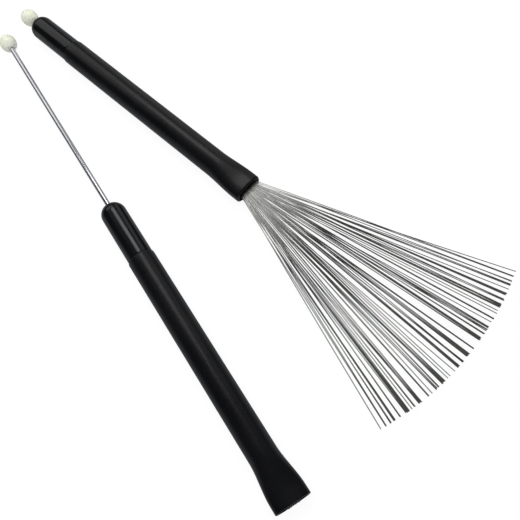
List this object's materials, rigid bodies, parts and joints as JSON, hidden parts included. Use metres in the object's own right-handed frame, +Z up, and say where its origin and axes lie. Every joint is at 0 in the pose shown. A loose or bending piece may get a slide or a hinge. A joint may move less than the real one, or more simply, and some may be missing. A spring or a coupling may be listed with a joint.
{
  "type": "wire drum brushes",
  "caption": "Retractable wire drum brushes: a pull rod slides a fan of steel wires out of a rubber-covered handle's flared mouth, or draws it inside.",
  "frame": {"origin": "on the surface that both brushes lie on, below the middle of the pair's bounding box", "axes": "+X along brush 1 from its capped end to its wires, +Y across it away from brush 2, +Z up"},
  "size_m": [0.339, 0.163, 0.015],
  "materials": {
    "grip_rubber": "satin black rubber",
    "cap_vinyl": "glossy black vinyl",
    "tube_aluminium": "drawn tube",
    "plug_nylon": "turned nylon",
    "rod_steel": "polished",
    "bead_plastic": "translucent ivory",
    "clamp_brass": "turned",
    "ring_rubber": "matte",
    "wire_steel": "drawn music wire"
  },
  "bodies": {
    "brush_1_handle": {"brush_1_grip_sleeve": "grip_rubber", "brush_1_handle_tube": "tube_aluminium", "brush_1_end_cap": "cap_vinyl", "brush_1_guide_plug": "plug_nylon"},
    "brush_1_slider": {"brush_1_pull_rod": "rod_steel", "brush_1_pull_bead": "bead_plastic", "brush_1_wire_clamp": "clamp_brass", "brush_1_slide_ring": "ring_rubber", "brush_1_wire_roots": "wire_steel"},
    "brush_2_handle": {"brush_2_grip_sleeve": "grip_rubber", "brush_2_handle_tube": "tube_aluminium", "brush_2_end_cap": "cap_vinyl", "brush_2_guide_plug": "plug_nylon"},
    "brush_2_slider": {"brush_2_pull_rod": "rod_steel", "brush_2_pull_bead": "bead_plastic", "brush_2_wire_clamp": "clamp_brass", "brush_2_slide_ring": "ring_rubber", "brush_2_wire_roots": "wire_steel"},
    "brush_1_tuft_01": {"brush_1_wires_01": "wire_steel"},
    "brush_1_tuft_02": {"brush_1_wires_02": "wire_steel"},
    "brush_1_tuft_03": {"brush_1_wires_03": "wire_steel"},
    "brush_1_tuft_04": {"brush_1_wires_04": "wire_steel"},
    "brush_1_tuft_05": {"brush_1_wires_05": "wire_steel"},
    "brush_1_tuft_06": {"brush_1_wires_06": "wire_steel"},
    "brush_1_tuft_07": {"brush_1_wires_07": "wire_steel"},
    "brush_1_tuft_08": {"brush_1_wires_08": "wire_steel"},
    "brush_1_tuft_09": {"brush_1_wires_09": "wire_steel"},
    "brush_1_tuft_10": {"brush_1_wires_10": "wire_steel"},
    "brush_1_tuft_11": {"brush_1_wires_11": "wire_steel"},
    "brush_1_tuft_12": {"brush_1_wires_12": "wire_steel"},
    "brush_2_tuft_01": {"brush_2_wires_01": "wire_steel"},
    "brush_2_tuft_02": {"brush_2_wires_02": "wire_steel"},
    "brush_2_tuft_03": {"brush_2_wires_03": "wire_steel"},
    "brush_2_tuft_04": {"brush_2_wires_04": "wire_steel"},
    "brush_2_tuft_05": {"brush_2_wires_05": "wire_steel"},
    "brush_2_tuft_06": {"brush_2_wires_06": "wire_steel"},
    "brush_2_tuft_07": {"brush_2_wires_07": "wire_steel"},
    "brush_2_tuft_08": {"brush_2_wires_08": "wire_steel"},
    "brush_2_tuft_09": {"brush_2_wires_09": "wire_steel"},
    "brush_2_tuft_10": {"brush_2_wires_10": "wire_steel"},
    "brush_2_tuft_11": {"brush_2_wires_11": "wire_steel"},
    "brush_2_tuft_12": {"brush_2_wires_12": "wire_steel"}
  },
  "joints": [
    {"name": "brush_1_slide", "type": "slide", "parent": "brush_1_handle", "child": "brush_1_slider", "axis": [-1, 0, 0], "range_m": [0, 0.1411], "deforming": ["brush_1_wires_01", "brush_1_wires_02", "brush_1_wires_03", "brush_1_wires_04", "brush_1_wires_05", "brush_1_wires_06", "brush_1_wires_07", "brush_1_wires_08", "brush_1_wires_09", "brush_1_wires_10", "brush_1_wires_11", "brush_1_wires_12"]},
    {"name": "brush_1_tuft_01_swing", "type": "hinge", "parent": "brush_1_slider", "child": "brush_1_tuft_01", "pos_m": [0.01333, 0.03012, 0.00769], "axis": [0, 0, 1], "range_deg": [-18.15, 0.5]},
    {"name": "brush_1_tuft_02_swing", "type": "hinge", "parent": "brush_1_slider", "child": "brush_1_tuft_02", "pos_m": [0.01333, 0.03012, 0.00807], "axis": [0, 0, 1], "range_deg": [-14.94, 0.5]},
    {"name": "brush_1_tuft_03_swing", "type": "hinge", "parent": "brush_1_slider", "child": "brush_1_tuft_03", "pos_m": [0.01333, 0.03012, 0.00845], "axis": [0, 0, 1], "range_deg": [-11.73, 0.5]},
    {"name": "brush_1_tuft_04_swing", "type": "hinge", "parent": "brush_1_slider", "child": "brush_1_tuft_04", "pos_m": [0.01333, 0.03012, 0.00883], "axis": [0, 0, 1], "range_deg": [-8.52, 0.5]},
    {"name": "brush_1_tuft_05_swing", "type": "hinge", "parent": "brush_1_slider", "child": "brush_1_tuft_05", "pos_m": [0.01333, 0.03012, 0.00921], "axis": [0, 0, 1], "range_deg": [-5.31, 0.5]},
    {"name": "brush_1_tuft_06_swing", "type": "hinge", "parent": "brush_1_slider", "child": "brush_1_tuft_06", "pos_m": [0.01333, 0.03012, 0.00959], "axis": [0, 0, 1], "range_deg": [-2.1, 0.5]},
    {"name": "brush_1_tuft_07_swing", "type": "hinge", "parent": "brush_1_slider", "child": "brush_1_tuft_07", "pos_m": [0.01333, 0.03012, 0.00541], "axis": [0, 0, 1], "range_deg": [-0.5, 2.1]},
    {"name": "brush_1_tuft_08_swing", "type": "hinge", "parent": "brush_1_slider", "child": "brush_1_tuft_08", "pos_m": [0.01333, 0.03012, 0.00579], "axis": [0, 0, 1], "range_deg": [-0.5, 5.31]},
    {"name": "brush_1_tuft_09_swing", "type": "hinge", "parent": "brush_1_slider", "child": "brush_1_tuft_09", "pos_m": [0.01333, 0.03012, 0.00617], "axis": [0, 0, 1], "range_deg": [-0.5, 8.52]},
    {"name": "brush_1_tuft_10_swing", "type": "hinge", "parent": "brush_1_slider", "child": "brush_1_tuft_10", "pos_m": [0.01333, 0.03012, 0.00655], "axis": [0, 0, 1], "range_deg": [-0.5, 11.73]},
    {"name": "brush_1_tuft_11_swing", "type": "hinge", "parent": "brush_1_slider", "child": "brush_1_tuft_11", "pos_m": [0.01333, 0.03012, 0.00693], "axis": [0, 0, 1], "range_deg": [-0.5, 14.94]},
    {"name": "brush_1_tuft_12_swing", "type": "hinge", "parent": "brush_1_slider", "child": "brush_1_tuft_12", "pos_m": [0.01333, 0.03012, 0.00731], "axis": [0, 0, 1], "range_deg": [-0.5, 18.15]},
    {"name": "brush_2_lift", "type": "slide", "parent": "brush_1_handle", "child": "brush_2_handle", "axis": [0, 0, 1], "range_m": [0, 0.15]},
    {"name": "brush_2_slide", "type": "slide", "parent": "brush_2_handle", "child": "brush_2_slider", "axis": [0.9677, -0.2521, 0], "range_m": [0, 0.1314], "deforming": ["brush_2_wires_01", "brush_2_wires_02", "brush_2_wires_03", "brush_2_wires_04", "brush_2_wires_05", "brush_2_wires_06", "brush_2_wires_07", "brush_2_wires_08", "brush_2_wires_09", "brush_2_wires_10", "brush_2_wires_11", "brush_2_wires_12"]},
    {"name": "brush_2_tuft_01_swing", "type": "hinge", "parent": "brush_2_slider", "child": "brush_2_tuft_01", "pos_m": [0.01193, -0.03591, 0.00769], "axis": [0, 0, 1], "range_deg": [-0.5, 18.15]},
    {"name": "brush_2_tuft_02_swing", "type": "hinge", "parent": "brush_2_slider", "child": "brush_2_tuft_02", "pos_m": [0.01193, -0.03591, 0.00807], "axis": [0, 0, 1], "range_deg": [-0.5, 14.94]},
    {"name": "brush_2_tuft_03_swing", "type": "hinge", "parent": "brush_2_slider", "child": "brush_2_tuft_03", "pos_m": [0.01193, -0.03591, 0.00845], "axis": [0, 0, 1], "range_deg": [-0.5, 11.73]},
    {"name": "brush_2_tuft_04_swing", "type": "hinge", "parent": "brush_2_slider", "child": "brush_2_tuft_04", "pos_m": [0.01193, -0.03591, 0.00883], "axis": [0, 0, 1], "range_deg": [-0.5, 8.52]},
    {"name": "brush_2_tuft_05_swing", "type": "hinge", "parent": "brush_2_slider", "child": "brush_2_tuft_05", "pos_m": [0.01193, -0.03591, 0.00921], "axis": [0, 0, 1], "range_deg": [-0.5, 5.31]},
    {"name": "brush_2_tuft_06_swing", "type": "hinge", "parent": "brush_2_slider", "child": "brush_2_tuft_06", "pos_m": [0.01193, -0.03591, 0.00959], "axis": [0, 0, 1], "range_deg": [-0.5, 2.1]},
    {"name": "brush_2_tuft_07_swing", "type": "hinge", "parent": "brush_2_slider", "child": "brush_2_tuft_07", "pos_m": [0.01193, -0.03591, 0.00541], "axis": [0, 0, 1], "range_deg": [-2.1, 0.5]},
    {"name": "brush_2_tuft_08_swing", "type": "hinge", "parent": "brush_2_slider", "child": "brush_2_tuft_08", "pos_m": [0.01193, -0.03591, 0.00579], "axis": [0, 0, 1], "range_deg": [-5.31, 0.5]},
    {"name": "brush_2_tuft_09_swing", "type": "hinge", "parent": "brush_2_slider", "child": "brush_2_tuft_09", "pos_m": [0.01193, -0.03591, 0.00617], "axis": [0, 0, 1], "range_deg": [-8.52, 0.5]},
    {"name": "brush_2_tuft_10_swing", "type": "hinge", "parent": "brush_2_slider", "child": "brush_2_tuft_10", "pos_m": [0.01193, -0.03591, 0.00655], "axis": [0, 0, 1], "range_deg": [-11.73, 0.5]},
    {"name": "brush_2_tuft_11_swing", "type": "hinge", "parent": "brush_2_slider", "child": "brush_2_tuft_11", "pos_m": [0.01193, -0.03591, 0.00693], "axis": [0, 0, 1], "range_deg": [-14.94, 0.5]},
    {"name": "brush_2_tuft_12_swing", "type": "hinge", "parent": "brush_2_slider", "child": "brush_2_tuft_12", "pos_m": [0.01193, -0.03591, 0.00731], "axis": [0, 0, 1], "range_deg": [-18.15, 0.5]}
  ],
  "couplings": [
    {"joint": "brush_1_tuft_01_swing", "follows": "brush_1_slide", "rad_per_m": -2.1832},
    {"joint": "brush_1_tuft_02_swing", "follows": "brush_1_slide", "rad_per_m": -1.7863},
    {"joint": "brush_1_tuft_03_swing", "follows": "brush_1_slide", "rad_per_m": -1.3893},
    {"joint": "brush_1_tuft_04_swing", "follows": "brush_1_slide", "rad_per_m": -0.99237},
    {"joint": "brush_1_tuft_05_swing", "follows": "brush_1_slide", "rad_per_m": -0.59542},
    {"joint": "brush_1_tuft_06_swing", "follows": "brush_1_slide", "rad_per_m": -0.19847},
    {"joint": "brush_1_tuft_07_swing", "follows": "brush_1_slide", "rad_per_m": 0.19847},
    {"joint": "brush_1_tuft_08_swing", "follows": "brush_1_slide", "rad_per_m": 0.59542},
    {"joint": "brush_1_tuft_09_swing", "follows": "brush_1_slide", "rad_per_m": 0.99237},
    {"joint": "brush_1_tuft_10_swing", "follows": "brush_1_slide", "rad_per_m": 1.3893},
    {"joint": "brush_1_tuft_11_swing", "follows": "brush_1_slide", "rad_per_m": 1.7863},
    {"joint": "brush_1_tuft_12_swing", "follows": "brush_1_slide", "rad_per_m": 2.1832},
    {"joint": "brush_2_tuft_01_swing", "follows": "brush_2_slide", "rad_per_m": 2.3444},
    {"joint": "brush_2_tuft_02_swing", "follows": "brush_2_slide", "rad_per_m": 1.9181},
    {"joint": "brush_2_tuft_03_swing", "follows": "brush_2_slide", "rad_per_m": 1.4919},
    {"joint": "brush_2_tuft_04_swing", "follows": "brush_2_slide", "rad_per_m": 1.0656},
    {"joint": "brush_2_tuft_05_swing", "follows": "brush_2_slide", "rad_per_m": 0.63937},
    {"joint": "brush_2_tuft_06_swing", "follows": "brush_2_slide", "rad_per_m": 0.21313},
    {"joint": "brush_2_tuft_07_swing", "follows": "brush_2_slide", "rad_per_m": -0.21313},
    {"joint": "brush_2_tuft_08_swing", "follows": "brush_2_slide", "rad_per_m": -0.63937},
    {"joint": "brush_2_tuft_09_swing", "follows": "brush_2_slide", "rad_per_m": -1.0656},
    {"joint": "brush_2_tuft_10_swing", "follows": "brush_2_slide", "rad_per_m": -1.4919},
    {"joint": "brush_2_tuft_11_swing", "follows": "brush_2_slide", "rad_per_m": -1.9181},
    {"joint": "brush_2_tuft_12_swing", "follows": "brush_2_slide", "rad_per_m": -2.3444}
  ]
}
